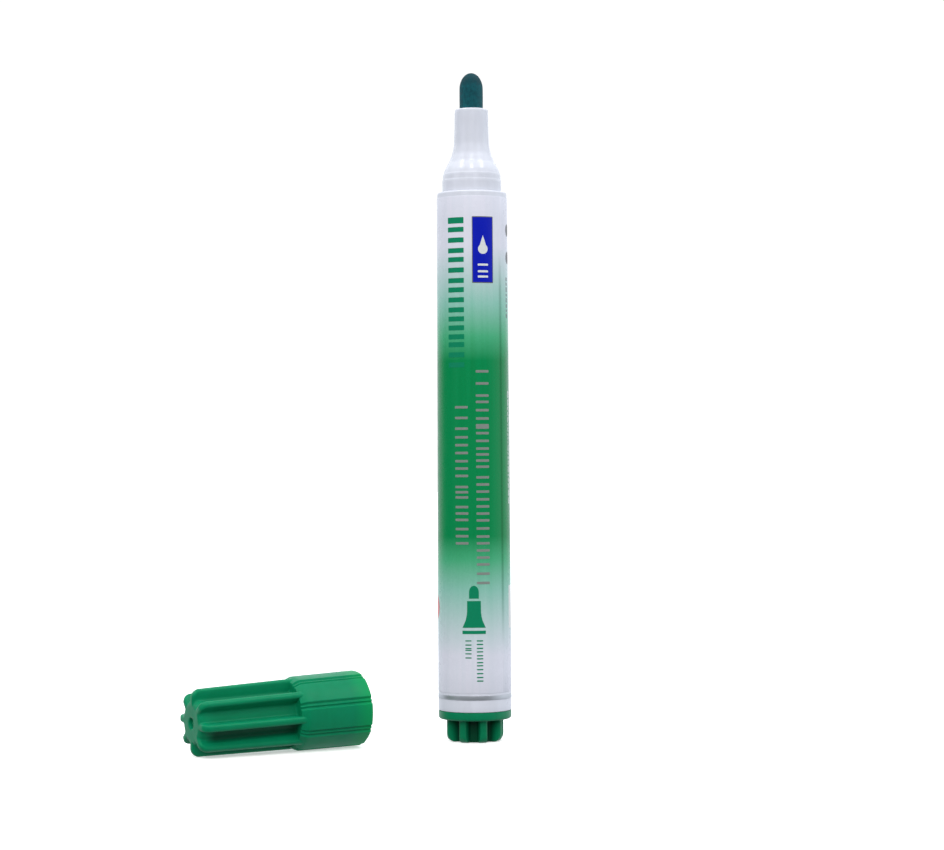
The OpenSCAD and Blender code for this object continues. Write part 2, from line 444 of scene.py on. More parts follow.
GREEN_CAP, GREEN_PLUG, WHITE = rgb(4, 124, 88), rgb(5, 117, 82), rgb(201, 208, 223)
GREEN_SCATTER, WHITE_SCATTER = (0.2, 1.0, 0.55), (1.0, 1.0, 1.0)
mat_cap = moulded_plastic(
    "cap_plastic", GREEN_CAP, rough=0.4, spec=0.14, sss=0.2, sss_radius=GREEN_SCATTER,
    glow=rgb(2, 141, 86), cavity=(LAY_CAP, 4.8, 5.8, CAP_LEN - 1.5, 0.85), under=0.35,
)
mat_plug = moulded_plastic(
    "plug_plastic", GREEN_PLUG, rough=0.34, spec=0.17, sss=0.04, sss_radius=GREEN_SCATTER,
    cavity=(Matrix.Identity(4), 4.2, 5.4, 0.0, 0.3),
)
mat_barrel = moulded_plastic("barrel_plastic", WHITE, rough=0.3, wear=0.02, skin=0.3)
mat_section = moulded_plastic(
    "section_plastic", WHITE, rough=0.2, spec=0.42, sss=0.25, sss_radius=WHITE_SCATTER, wear=0.02, skin=0.15,
)
mat_seal = moulded_plastic("seal_plastic", rgb(225, 228, 226), rough=0.4, sss=0.3, sss_radius=WHITE_SCATTER)
mat_wrap = moulded_plastic("wrap_film", rgb(205, 222, 214), rough=0.18, spec=0.5)


# the film's colours, and the heights in mm at which the print passes through them on its way up
PAPER, MIST, LEAF, FULL_GREEN = rgb(206, 210, 227), rgb(134, 186, 177), rgb(70, 163, 122), rgb(21, 129, 78)
PRINT_FADES = [(18.5, PAPER), (32.0, MIST), (38.7, LEAF), (43.5, FULL_GREEN)]
PRINT_FADES += [(80.3, FULL_GREEN), (85.3, LEAF), (92.4, MIST), (104.5, PAPER)]
# the seam's line fades in and out over these heights, in mm
SEAM_FADES = ((20.0, 32.0), (104.0, 95.0))
SEAM_SHADE, STREAK_TONE, GRAIN_TONE = (0.45, 0.55, 0.5, 1.0), (0.02, 0.25, 0.12, 1.0), (0.9, 0.95, 0.92, 1.0)


def print_gradient(s):
    """The film's colour by height. It is screened ink, so its edge is not perfectly even."""
    uneven = 0.6 * MM
    height = s.calc("MULTIPLY_ADD", s.noise(260, detail=3.0), uneven, s.up())
    fac = s.remap(height, 0.0, 1.0, FILM_LOW * MM + uneven / 2, FILM_HIGH * MM + uneven / 2)
    ramp = s.node("ShaderNodeValToRGB")
    stops = ramp.color_ramp.elements
    while len(stops) > 1:
        stops.remove(stops[-1])
    for i, (z, tone) in enumerate(PRINT_FADES):
        place = (z - FILM_LOW) / (FILM_HIGH - FILM_LOW)
        stop = stops[0] if i == 0 else stops.new(place)
        stop.position = place
        stop.color = tone
    s.link(fac, ramp.inputs["Fac"])
    return ramp.outputs["Color"]


def seam_line(s):
    """A thin line where the sheet overlaps itself."""
    turn = front_angle(SEAM_ANGLE)
    aside = s.calc("ABSOLUTE", s.along(s.coord, (-math.sin(turn), math.cos(turn), 0.0)))
    facing = s.along(s.coord, (math.cos(turn), math.sin(turn), 0.0))
    near = s.remap(aside, 0.62, 0.0, 0.2 * MM, 0.5 * MM)
    line = s.calc("MULTIPLY", near, s.remap(facing, 0.0, 1.0, 0.0, MM))
    for low, high in SEAM_FADES:
        line = s.calc("MULTIPLY", line, s.remap(s.up(), 0.0, 1.0, low * MM, high * MM))
    return line


def printed_film():
    s = Shader("printed_film", WHITE, 0.27, spec=0.18)
    streak = s.noise(900, stretch=(1, 1, 0.02), detail=3.0)
    grain = s.noise(5200, detail=1.0)
    out = s.mix(s.remap(streak, 0.0, 0.22), print_gradient(s), STREAK_TONE, "SOFT_LIGHT")
    out = s.mix(s.remap(grain, 0.0, 0.1), out, GRAIN_TONE, "SOFT_LIGHT")
    s.colour(s.mix(seam_line(s), out, SEAM_SHADE, "MULTIPLY"))
    s.roughness(s.remap(s.noise(350, detail=6.0), 0.22, 0.34))
    s.bump(s.noise(1800, detail=2.0), 0.0000012)
    s.bump(streak, 0.0000015)
    return s.mat


def ink(name, base, rough=0.35, metal=0.0, spec=0.25):
    """Printed ink: slightly uneven cover and sheen."""
    s = Shader(name, base, rough, spec=spec, metal=metal)
    cover = s.noise(3200, detail=3.0)
    tone = s.mix(s.remap(cover, 0.0, 1.0), scaled(base, 0.92), scaled(base, 1.06))
    s.colour(s.mix(s.remap(s.noise(600, stretch=(1, 1, 0.1)), 0.0, 0.5), tone, scaled(base, 0.95)))
    s.roughness(s.remap(s.noise(1500, detail=4.0), rough - 0.05, rough + 0.1))
    s.bump(cover, 0.000004)
    return s.mat


def foil(name, base):
    """Hot-stamped foil: satin metal with a faint grain round the barrel."""
    s = Shader(name, base, 0.36, spec=0.4, metal=0.62)
    grain = s.noise(1500, stretch=(0.15, 0.15, 2.0), detail=3.0)
    tone = s.mix(s.remap(grain, 0.0, 1.0), scaled(base, 0.93), scaled(base, 1.06))
    s.colour(s.mix(s.remap(s.noise(500, detail=3.0), 0.0, 0.5), tone, scaled(base, 0.95)))
    s.roughness(s.remap(s.noise(420, detail=5.0), 0.32, 0.4))
    s.bump(grain, 0.0000015)
    return s.mat


def felt(name, base, dark, light, fibre=1700, stretch=(1, 1, 0.12), depth=0.00004, dome=0.0):
    """Pressed felt: fibres run along the marker, darker where the ink pools."""
    s = Shader(name, base, 0.75, spec=0.25)
    fibres = s.noise(fibre, stretch=stretch, detail=5.0, rough=0.65)
    pores = s.noise(fibre * 2.2, detail=3.0)
    tone = s.mix(s.remap(fibres, 0.0, 1.0), dark, light)
    tone = s.mix(s.remap(pores, 0.0, 0.6), tone, dark)
    if dome:
        # worn and wet with ink from this height up
        wet = s.remap(s.up(), 0.0, 0.75, (dome - 0.4) * MM, (dome + 0.6) * MM)
        tone = s.mix(wet, tone, scaled(dark, 0.8))
    s.colour(tone)
    s.roughness(s.remap(fibres, 0.55, 0.85))
    s.bump(fibres, depth)
    s.bump(pores, depth * 0.6)
    return s.mat


mat_film = printed_film()
mat_silver = foil("silver_foil", (0.47, 0.49, 0.53, 1.0))
mat_silver_ink = ink("silver_ink", rgb(140, 150, 148), rough=0.38, metal=0.35)
mat_green_ink = ink("green_ink", rgb(10, 126, 92), rough=0.33)
mat_blue_ink = ink("blue_ink", rgb(16, 34, 172), rough=0.33)
mat_grey_ink = ink("grey_ink", rgb(96, 99, 106), rough=0.4)
mat_pale_ink = ink("pale_ink", rgb(205, 212, 216), rough=0.4)
mat_red_ink = ink("red_ink", rgb(196, 40, 52), rough=0.35)
mat_nib = felt(
    "nib_felt", rgb(24, 82, 92), rgb(12, 61, 71), rgb(32, 98, 108),
    fibre=1500, stretch=(1, 1, 0.75), dome=139.0,
)
mat_fibre = felt("fibre_core", rgb(20, 120, 88), rgb(14, 92, 66), rgb(30, 140, 104), fibre=900)


# ---------------------------------------------------------------- end plug
PLUG_TIP_C, PLUG_FILLET, PLUG_CORNER, PLUG_EDGE = 0.55, 0.45, 1.6, 0.5


def plug_star(inset=0.0):
    width = PLUG_RIB_W - 2 * inset
    return polar_star(PLUG_RIB_R, PLUG_CORE_R - inset, width, PLUG_TIP_C, PLUG_FILLET, PLUG_TURN)


def plug_foot(z, inset=0.0):
    """Ribbed outline at height z, its rib tips rounded towards the foot."""
    if z >= PLUG_CORNER:
        return as_ring(plug_star(inset), z)
    drop = math.sqrt(max(PLUG_CORNER ** 2 - (PLUG_CORNER - z) ** 2, 0.0))
    limit = PLUG_RIB_R - PLUG_CORNER + drop
    return as_ring([(a, soft_min(r, limit, 0.12)) for a, r in plug_star(inset)], z)


def plug_rim():
    """Profile of the flange and the hollow spigot, from the flange's underside to the middle of its floor."""
    top, tip = BARREL_Z, BARREL_Z + SPIGOT_LEN
    profile = arc(PLUG_FLANGE_R - PLUG_EDGE, PLUG_FOOT_H + PLUG_EDGE, PLUG_EDGE, -84, 0, 9)
    edge = ((0.0, 0.17), (0.03, 0.08), (0.12, 0.03))
    profile += [(PLUG_FLANGE_R - inward, top - down) for inward, down in edge]
    profile += [(6.95, top - 0.03), (SPIGOT_R, top + 0.02), (SPIGOT_R, top + 2.0)]
    # two shallow grip rings
    for z in (top + 3.1, top + 5.9):
        ring = [(0.04, 0.0), (0.16, 0.12), (0.16, 0.5), (0.04, 0.62)]
        profile += [(SPIGOT_R - inward, z + up) for inward, up in ring]
    profile += [(SPIGOT_R, tip - 0.9), (SPIGOT_R - 0.14, tip - 0.5), (SPIGOT_R - 0.5, tip)]
    bore = SPIGOT_R - 1.19
    profile += [(bore + 0.15, tip), (bore, tip - 0.15), (bore, top - 0.2), (bore - 0.35, top - 0.5)]
    return profile + [(3.0, top - 0.5)]


def make_plug():
    full = plug_star()
    angles = [a for a, _ in full]
    rings = [[(0.0, 0.0, 0.0)]]
    rings += [round_ring(angles, r, 0.0) for r in (0.6, 1.4, 2.4, 3.3)]
    rings += [plug_foot(z, inset) for z, inset in ((0.0, 0.12), (0.04, 0.05))]
    rings += [plug_foot(z) for z in (0.12, 0.22, 0.36, 0.52, 0.72, 0.95, 1.2, 1.45, 1.6, 2.2, 3.0, 3.8, 4.35)]
    # fillet under the flange, smaller at the rib tips than in the valleys
    for z, grow in ((4.5, 0.03), (4.62, 0.09), (4.71, 0.17), (4.77, 0.27), (4.8, 0.4)):
        rings.append(as_ring([(a, r + grow * (1 if r < 5.8 else 0.6)) for a, r in full], z))
    flat = PLUG_FLANGE_R - PLUG_EDGE
    for f in (0.35, 0.75, 1.0):
        rings.append(as_ring([(a, (r + 0.4) * (1 - f) + flat * f) for a, r in full], PLUG_FOOT_H + 0.004 * f))
    rings += [round_ring(angles, r, z) for r, z in plug_rim()]
    rings.append([(0.0, 0.0, BARREL_Z - 0.5)])
    finish_mesh("end_plug_moulded", loft(rings), "plug", mat_plug, ["end_plug"], sharp=38)


# ---------------------------------------------------------------- barrel, film, band
def make_barrel():
    top, low = BARREL_TOP, BARREL_Z
    profile = [(7.4, low), (7.58, low + 0.02), (7.68, low + 0.09), (barrel_r(low + 0.25), low + 0.25)]
    profile += [(barrel_r(z), z) for z in range(8, 116, 6)]
    profile += [(barrel_r(top - 0.45), top - 0.45)]
    r = barrel_r(top)
    profile += arc(r - 0.42, top - 0.42, 0.42, 8, 82, 6)
    profile += [(6.98, top), (BORE_R + 0.02, top), (BORE_R, top - 0.1)]
    profile += [(BORE_R, low + 0.3), (6.9, low + 0.02)]
    bm = turned(profile, 192)
    finish_mesh("barrel_tube", bm, "marker", mat_barrel, ["barrel"], sharp=40)


def overlap_rise(a):
    """How far the film stands proud beyond its seam, where it lies double."""
    d = (a - front_angle(SEAM_ANGLE) + math.pi) % TAU - math.pi
    rise = max(0.0, min(1.0, (d + 0.012) / 0.018))
    fall = max(0.0, min(1.0, (0.42 - d) / 0.3))
    return OVERLAP_T * rise * fall


def make_film():
    """One wrapped sheet: the overlap stands a little proud beyond its seam."""
    count = 240
    seam = front_angle(SEAM_ANGLE)
    near_seam = [(seam + k * 0.006) % TAU for k in range(-4, 5)]
    angles = sorted([TAU * i / count for i in range(count)] + near_seam)
    heights = [FILM_LOW, FILM_LOW + 0.15] + [15.0 + 5.0 * i for i in range(20)]
    heights += [FILM_HIGH - 0.15, FILM_HIGH]

    def ring(z, thick, outer):
        r = barrel_r(z) + thick
        return as_ring([(a, r + overlap_rise(a) * outer) for a in angles], z)

    rings = []
    for z in heights:
        cut_edge = z in (FILM_LOW, FILM_HIGH)
        rings.append(ring(z, FILM_T * (0.55 if cut_edge else 1.0), 0.0 if cut_edge else 1.0))
    rings += [ring(z, 0.004, 0.0) for z in (FILM_HIGH, FILM_LOW)]
    bm = loft(rings, closed=True)
    finish_mesh("print_film_wrap", bm, "marker", mat_film, ["print_film"], sharp=60)


def make_band():
    edge = ((0.004, 0.0), (0.05, 0.0), (FILM_T, 0.06))
    profile = [(barrel_r(BAND_LOW) + out, BAND_LOW + up) for out, up in edge]
    profile += [(barrel_r(BAND_HIGH) + out, BAND_HIGH - up) for out, up in reversed(edge)]
    bm = turned(profile, 192)
    finish_mesh("silver_ring", bm, "marker", mat_silver, ["silver_band"], sharp=70)


# ---------------------------------------------------------------- printed marks on the film
MARK_STEP = 0.45   # marks are cut this often, in mm, so that they bend round the barrel
MARK_ROOT = 0.03   # how deep a mark reaches into the film


def cut_upright(part, u):
    """Cuts a flat mark along an upright line."""
    geom = part.verts[:] + part.edges[:] + part.faces[:]
    bmesh.ops.bisect_plane(part, geom=geom, plane_co=(u, 0, 0), plane_no=(1, 0, 0), dist=1e-6)


def wrap_shapes(name, shapes, material, lift=0.02):
    """Thin marks lying on the film.

    A shape is a list of (arc, height) corners in mm; arc runs to the right of the front.
    """
    bm = bmesh.new()
    for shape in shapes:
        part = bmesh.new()
        face = part.faces.new([part.verts.new((u, 0.0, z)) for u, z in shape])
        face.normal_update()
        bmesh.ops.triangulate(part, faces=[face])
        left, right = min(u for u, _ in shape), max(u for u, _ in shape)
        u = math.ceil(left / MARK_STEP) * MARK_STEP
        while u < right:
            if left + 0.02 < u < right - 0.02:
                cut_upright(part, u)
            u += MARK_STEP
        thick = bmesh.ops.extrude_face_region(part, geom=part.faces[:])
        upper = {g for g in thick["geom"] if isinstance(g, bmesh.types.BMVert)}
        for v in part.verts:
            u, _, z = v.co
            surface = barrel_r(z) + FILM_T
            a = front_angle(math.degrees(u / surface))
            r = surface + overlap_rise(a) + (lift if v in upper else -MARK_ROOT)
            v.co = Vector((r * math.cos(a), r * math.sin(a), z))
        bmesh.ops.recalc_face_normals(part, faces=part.faces)
        mesh = bpy.data.meshes.new("mark")
        part.to_mesh(mesh)
        part.free()
        bm.from_mesh(mesh)
        bpy.data.meshes.remove(mesh)
    return finish_mesh(name, bm, "marker", material, sharp=40)


def bar(u0, u1, z0, z1, corner=0.12):
    """Bar with rounded corners."""
    c = min(corner, abs(u1 - u0) / 2.01, abs(z1 - z0) / 2.01)
    out = []
    corners = ((u1 - c, z1 - c), (u0 + c, z1 - c), (u0 + c, z0 + c), (u1 - c, z0 + c))
    for k, (cu, cz) in enumerate(corners):
        for i in range(4):
            a = math.radians(90 * k + 30 * i)
            out.append((cu + c * math.cos(a), cz + c * math.sin(a)))
    return out


def disc(u, z, ru, rz, n=28):
    return [(u + ru * math.cos(TAU * i / n), z + rz * math.sin(TAU * i / n)) for i in range(n)]


def bar_group(u0, u1, z0, z1, stroke, count=3):
    """A group of equal parallel bars."""
    out = []
    for i in range(count):
        z = z0 + (z1 - z0 - stroke) * i / (count - 1)
        out.append(bar(u0, u1, z, z + stroke))
    return out


def make_green_bars():
    """Large bars, left of the front, in place of the large lettering."""
    u0, u1 = -5.55, -1.8
    shapes = [bar(u0, u1, 109.1, 110.4)]
    for z0, z1 in ((102.9, 108.35), (96.6, 102.05), (90.45, 95.7), (84.8, 89.6), (78.9, 84.2)):
        shapes += bar_group(u0, u1, z0, z1, 1.05)
    wrap_shapes("print_bars_green", shapes, mat_green_ink)


def make_panel():
    """Plain blue panel with an edge line, an ink-drop sign and three bars."""
    edge = bar(-0.05, 4.62, 96.55, 110.55, 0.15)
    wrap_shapes("print_panel_edge", [edge], mat_grey_ink, 0.015)
    wrap_shapes("print_panel_blue", [bar(0.12, 4.45, 96.75, 110.35, 0.1)], mat_blue_ink, 0.028)
    u, z, r = 2.28, 103.7, 1.05
    drop = [(u, 106.6)]
    for i in range(21):
        a = math.radians(50 - 280 * i / 20)
        drop.append((u + r * math.cos(a), z + r * math.sin(a)))
    signs = [drop]
    signs += [bar(1.15, 3.4, z - 0.22, z + 0.22) for z in (100.4, 99.0, 97.9)]
    wrap_shapes("print_panel_sign", signs, mat_pale_ink, 0.04)


def make_silver_bars():
    """Two columns of bars, one group of three for each letter of the original."""
    stroke = 0.52
    right = ((72.7, 78.3), (67.9, 71.9), (66.0, 67.0), (61.6, 65.35), (57.8, 60.9), (52.6, 56.1))
    right += ((48.0, 51.5), (43.2, 47.1), (38.8, 42.3), (33.5, 37.9))
    left = ((65.8, 70.8), (60.7, 64.5), (55.9, 59.5), (51.4, 54.1), (46.7, 49.9), (41.8, 45.3))
    shapes = []
    for z0, z1 in right:
        shapes += [bar(0.55, 3.35, z0, z1)] if z1 - z0 < 1.5 else bar_group(0.55, 3.35, z0, z1, stroke)
    for z0, z1 in left:
        shapes += bar_group(-4.0, -1.15, z0, z1, stroke)
    wrap_shapes("print_bars_silver", shapes, mat_silver_ink)


def make_tip_sign():
    """Sign of a bullet tip, with two columns of small bars under it."""
    c, r = -0.1, 1.03
    tip = [(c - r, 30.5)]
    for i in range(13):
        a = math.radians(180 - 15 * i)
        tip.append((c + r * math.cos(a), 31.85 + 1.35 * math.sin(a)))
    tip.append((c + r, 30.5))
    half = [(1.44, 30.0), (1.45, 28.6), (1.48, 27.6), (1.57, 26.8), (1.78, 26.0), (2.1, 25.2), (2.49, 24.4)]
    body = [(c + u, z) for u, z in half] + [(c - u, z) for u, z in reversed(half)]
    shapes = [tip, body, bar(c - 2.49, c + 2.49, 23.1, 23.8, 0.05)]
    columns = (
        (0.42, 1.8, 0.26, 0.55, (1.0, 1.0, 0.9, 0.9, 1.1, 1.0)),
        (-2.0, -0.65, 0.24, 0.5, (1.1, 0.6, 1.1)),
    )
    for u0, u1, stroke, gap, lengths in columns:
        z = 21.8
        for length in lengths:
            shapes += bar_group(u0, u1, z - length, z, stroke, 2)
            z -= length + gap
    wrap_shapes("print_tip_sign", shapes, mat_green_ink)


def broken_line(rng, u, width, top, low, lengths, gap):
    """A column of small bars of random length, in place of a line of fine print."""
    out = []
    z = top
    while z > low:
        length = rng.uniform(*lengths)
        out.append(bar(u, u + width, z - length, z, 0.08))
        z -= length + gap
    return out


def make_far_prints():
    """What lies beyond the seam of the film, and the disc round on the left."""
    rng = random.Random(7)
    shapes = [disc(10.3, z, 1.2, 1.3) for z in (108.0, 102.2)]
    shapes += broken_line(rng, 9.1, 0.6, 98.0, 90.0, (0.5, 1.3), 0.35)
    for column in range(5):
        shapes += broken_line(rng, 12.2 + column * 1.1, 0.5, 108.0, 84.0, (0.7, 2.4), 0.4)
    wrap_shapes("print_fine_bars_grey", shapes, mat_grey_ink, 0.012)
    shapes = []
    for column in range(6):
        shapes += broken_line(rng, 9.6 + column * 0.95, 0.42, 74.0, 50.0, (0.4, 1.5), 0.3)
    wrap_shapes("print_fine_bars_pale", shapes, mat_pale_ink, 0.012)
    wrap_shapes("print_panel_pale", [bar(9.3, 12.6, 24.0, 33.0, 0.3)], mat_pale_ink, 0.01)
    wrap_shapes("print_disc_red", [disc(-12.3, 28.4, 2.5, 2.7)], mat_red_ink, 0.015)


# ---------------------------------------------------------------- front section, nib, reservoir
def make_section():
    b = BARREL_TOP
    outer = [(6.1, b - 12.3), (6.5, b - 12.3), (6.7, b - 11.6), (6.73, b - 11.2)]
    outer += [(6.73, b - 0.12), (6.66, b - 0.04)]
    outer += [(6.45, b + 0.0), (SEAT_R + 0.06, b + 0.02), (SEAT_R + 0.01, b + 0.08), (SEAT_R, b + 0.2)]
    outer += [(SEAT_R, b + 1.0), (SEAT_R, b + 2.0), (SEAT_R, b + 2.5), (SEAT_R - 0.02, b + 2.56)]
    outer += [(SEAT_R - 0.08, b + 2.74), (6.15, b + 2.9), (6.13, b + 3.4), (6.09, b + 3.8), (6.06, b + 3.9)]
    outer += [(6.0, b + 4.02)]
    neck = [(5.97, b + 4.1), (5.72, b + 4.85), (5.27, b + 5.77), (4.81, b + 6.57), (4.49, b + 7.37)]
    neck += [(4.14, b + 8.27), (3.94, b + 9.12), (3.78, b + 9.97), (3.7, b + 10.77), (3.65, b + 12.47)]
    neck += [(3.59, b + 14.17), (3.57, b + 15.87), (3.52, b + 17.3)]
    outer += smooth_curve(neck, 5)
    outer += arc(3.11, SECTION_TOP - 0.4, 0.4, 6, 84, 6)
    outer += [(2.75, SECTION_TOP), (2.6, SECTION_TOP - 0.02), (2.52, SECTION_TOP - 0.12)]
    outer += [(2.52, b + 6.5), (3.6, b + 4.2), (5.2, b + 1.0), (5.2, b - 3.3), (6.1, b - 3.5)]
    bm = turned(outer, 176)
    finish_mesh("nose_section", bm, "marker", mat_section, ["front_section"], sharp=28)


def make_nib():
    shoulder = NIB_TOP - NIB_DOME
    foot = FIBRE_TOP - 4
    profile = [(0.0, foot), (2.2, foot), (2.48, foot + 0.3)]
    profile += [(NIB_R - 0.01, z) for z in (112.0, 118.0, 124.0, 130.0, 133.6)]
    profile += [(NIB_R, 134.0 + 0.3 * i) for i in range(14)]
    steps = 26
    for i in range(1, steps + 1):
        a = math.pi / 2 * i / steps
        profile.append((NIB_R * math.cos(a) if i < steps else 0.0, shoulder + NIB_DOME * math.sin(a)))
    bm = turned(profile, 112, closed=False)
    # pressed felt is never quite smooth
    rng = random.Random(11)
    phase = [rng.uniform(0, TAU) for _ in range(9)]
    for v in bm.verts:
        r = math.hypot(v.co.x, v.co.y)
        if v.co.z > 134.3 and r > 0.15:
            a = math.atan2(v.co.y, v.co.x)
            dent = sum(math.sin((5 + 3 * k) * a + phase[k] + v.co.z * (0.7 + 0.23 * k)) for k in range(9)) / 9
            f = 1.0 - 0.011 * (0.5 + 0.5 * dent)
            v.co.x *= f
            v.co.y *= f
    finish_mesh("felt_nib", bm, "marker", mat_nib, ["nib"], sharp=50)


def make_reservoir():
    low, high, r = FIBRE_Z, FIBRE_TOP, FIBRE_R
    core = [(0.0, low), (r - 0.4, low), (r - 0.05, low + 0.25), (r, low + 0.6)]
    core += [(r, high - 0.5), (r - 0.3, high)]
    core += [(2.55, high), (2.51, high - 0.1), (2.51, high - 4.0), (0.0, high - 4.0)]
    bm = turned(core, 96, closed=False)
    finish_mesh("fibre_core_rod", bm, "marker", mat_fibre, ["ink_fibre"], sharp=50)
    wrap = [(r + 0.01, low), (r + 0.13, low), (r + 0.15, low + 0.05)]
    wrap += [(r + 0.15, high - 0.05), (r + 0.13, high), (r + 0.01, high)]
    bm = turned(wrap, 128)
    finish_mesh("fibre_core_wrap", bm, "marker", mat_wrap, ["fibre_wrap"], sharp=60)


# ---------------------------------------------------------------- cap
def smooth_step(lo, hi, x):
    f = max(0.0, min(1.0, (x - lo) / (hi - lo)))
    return f * f * (3 - 2 * f)


def collar_polar(angles, s):
    """Collar outline: slightly bulged panels; between them a fine ridge with a groove on either side."""
    f = min(max(s / COLLAR_EDGE, 0.0), 1.0)
    rc = COLLAR_R + (COLLAR_BACK_R - COLLAR_R) * f
    d = PANEL_R - rc
    half = math.pi / RIBS
    out = []
    for a in angles:
        phi = (a + half) % (2 * half) - half
        r = -d * math.cos(phi) + math.sqrt(PANEL_R * PANEL_R - (d * math.sin(phi)) ** 2)
        t = (half - abs(phi)) * RIDGE_R
        r = min(r, rc + 0.15)
        deep = 0.4 * (1 - smooth_step(0.42, 0.85, t))
        if t < 0.4:
            deep = 0.14 + 0.26 * smooth_step(0.06, 0.34, t)
        out.append((a, r - deep))
    return out


def make_cap():
    length = CAP_LEN

    def tip_at(s):
        f = (s - COLLAR_EDGE) / (length - CAP_END_ROUND - COLLAR_EDGE)
        return RIB_FRONT_R + (RIB_END_R - RIB_FRONT_R) * max(0.0, min(1.0, f))

    def star_at(s):
        return polar_star(tip_at(s), CAP_CORE_R, RIB_W, CAP_TIP_C, CAP_FILLET)

    angles = [a for a, _ in star_at(20.0)]

    def rounded(z, r, radius):
        return r if z >= radius else r - radius + math.sqrt(max(radius ** 2 - (radius - z) ** 2, 0.0))

    def end_outline(z):
        """Outline a distance z in from the end face: rib tips, rib sides and tube all round over."""
        side = 0.52 - rounded(z, 0.52, 0.52)
        tip = rounded(z, RIB_END_R, CAP_END_ROUND)
        core = rounded(z, CAP_CORE_R, CORE_END_ROUND)
        return polar_star(tip, core, RIB_W - 2 * side, CAP_TIP_C - side, CAP_FILLET)

    rings = []
    # blind hole in the middle of the end face, with the stub of the moulding gate in it
    rings.append([(0.0, 0.0, length - 0.4)])
    for r, z in ((0.2, length - 0.42), (0.32, length - 0.5), (0.36, length - 0.8), (0.5, length - 0.88),
                 (1.0, length - 0.9), (1.12, length - 0.8), (1.15, length - 0.3), (1.2, length - 0.1),
                 (1.32, length - 0.02), (1.5, length)):
        rings.append(round_ring(angles, r, z))
    face_edge = end_outline(0.0)
    for f in (0.3, 0.65, 0.9):
        rings.append(as_ring([(a, 1.5 + (r - 1.5) * f) for a, r in face_edge], length))
    for z in (0.0, 0.01, 0.04, 0.09, 0.16, 0.25, 0.36, 0.5, 0.66, 0.85, 1.05, 1.25, 1.4, 1.6, 1.8, 2.2, 2.6):
        rings.append(as_ring(end_outline(z), length - z))
    s = length - 3.1
    while s > COLLAR_LEN + 0.9:
        rings.append(as_ring(star_at(s), s))
        s -= 1.2
    # concave corner against the collar's back wall
    for back in (0.75, 0.5, 0.32, 0.18, 0.08, 0.02):
        s = COLLAR_LEN + back
        rise = 0.55 * (1 - math.sqrt(max(1 - (1 - back / 0.75) ** 2, 0.0)))
        limit = CAP_CORE_R + rise + 0.2
        ring = [(a, max(r, min(r + rise, limit) if r < 5.6 else r)) for a, r in star_at(s)]
        rings.append(as_ring(ring, s))

    def shoulder(s):
        """Chamfer at the collar's back; the ribs run up onto it."""
        f = (s - COLLAR_EDGE) / (COLLAR_LEN - COLLAR_EDGE)
        drop = 0.75 * f ** 1.25
        pairs = zip(collar_polar(angles, s), star_at(s))
        return [(a, soft_max(rc - drop, min(rs, rc - 0.02), 0.05)) for (a, rc), (_, rs) in pairs]

    wall = shoulder(COLLAR_LEN)
    base = star_at(COLLAR_LEN)
    for f in (0.25, 0.6, 0.9, 0.97):
        mixed = [(a, max(r0, CAP_CORE_R + 0.55 if r0 < 5.6 else r0) * (1 - f) + r1 * f)
                 for (a, r0), (_, r1) in zip(base, wall)]
        rings.append(as_ring(mixed, COLLAR_LEN))
    for back in (0.03, 0.1, 0.25, 0.45, 0.65, 0.9, 1.1, 1.25, 1.35, 1.45):
        s = COLLAR_LEN - back
        rings.append(as_ring(shoulder(s) if s > COLLAR_EDGE else collar_polar(angles, s), s))
    s = COLLAR_EDGE - 0.5
    while s > 0.7:
        rings.append(as_ring(collar_polar(angles, s), s))
        s -= 1.0
    mouth = collar_polar(angles, 0.0)
    for s, inset in ((0.5, 0.0), (0.3, 0.02), (0.15, 0.07), (0.05, 0.15), (0.0, 0.3)):
        rings.append(as_ring([(a, r - inset) for a, r in mouth], s))
    # inside: lead-in, gripping bore, step, shelf and the tube behind it
    inner = [(6.75, 0.0), (6.55, 0.03), (6.42, 0.12), (6.34, 0.3)]
    inner += [(MOUTH_R, 0.55), (MOUTH_R, 4.0), (MOUTH_R, MOUTH_LEN)]
    inner += [(MOUTH_R - 0.15, MOUTH_LEN + 0.15), (MOUTH_R - 0.15, 12.0), (MOUTH_R - 0.17, 13.9)]
    inner += [(MOUTH_R - 0.3, 14.12), (MOUTH_R - 0.55, MOUTH_DEPTH), (5.0, MOUTH_DEPTH), (4.25, MOUTH_DEPTH)]
    inner += [(CAP_IN_R, MOUTH_DEPTH + 0.12), (CAP_IN_R, 25.0), (CAP_IN_R, length - 2.5)]
    inner += [(CAP_IN_R - 0.5, length - 2.0), (1.5, length - 2.0)]
    for r, s in inner:
        rings.append(round_ring(angles, r, s))
    rings.append([(0.0, 0.0, length - 2.0)])
    bm = loft(rings)
    finish_mesh("cap_moulded", bm, "cap", mat_cap, ["cap_shell"], sharp=36, matrix=LAY_CAP)


